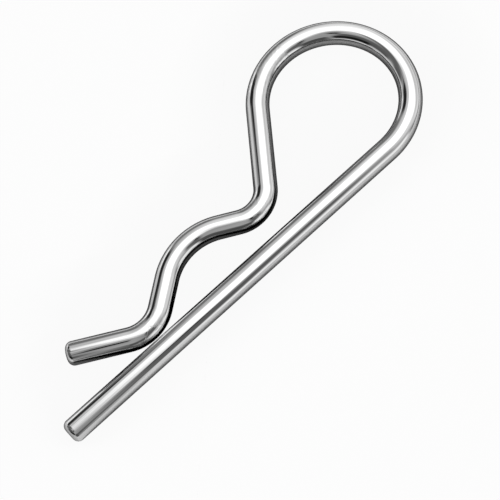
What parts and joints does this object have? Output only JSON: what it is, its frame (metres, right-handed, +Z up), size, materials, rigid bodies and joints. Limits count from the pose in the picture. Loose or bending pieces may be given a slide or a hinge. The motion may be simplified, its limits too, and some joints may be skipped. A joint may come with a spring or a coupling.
{
  "type": "hitch r clip pin",
  "caption": "Bent spring-wire retaining clip: a straight leg goes through a cross-drilled shaft and a curved sprung arm snaps over the shaft to hold it.",
  "frame": {"origin": "centre of the pin's outline in plan, on the surface that the pin lies on", "axes": "+Z up through the wire's plane of bending; +X along the straight leg, from its cut end towards the loop; +Y from the straight leg towards the sprung arm"},
  "size_m": [0.0834, 0.0294, 0.004],
  "materials": {
    "bright_plating": "bright plated spring steel wire, polished"
  },
  "bodies": {
    "root": {"wire": "bright_plating"}
  },
  "joints": []
}
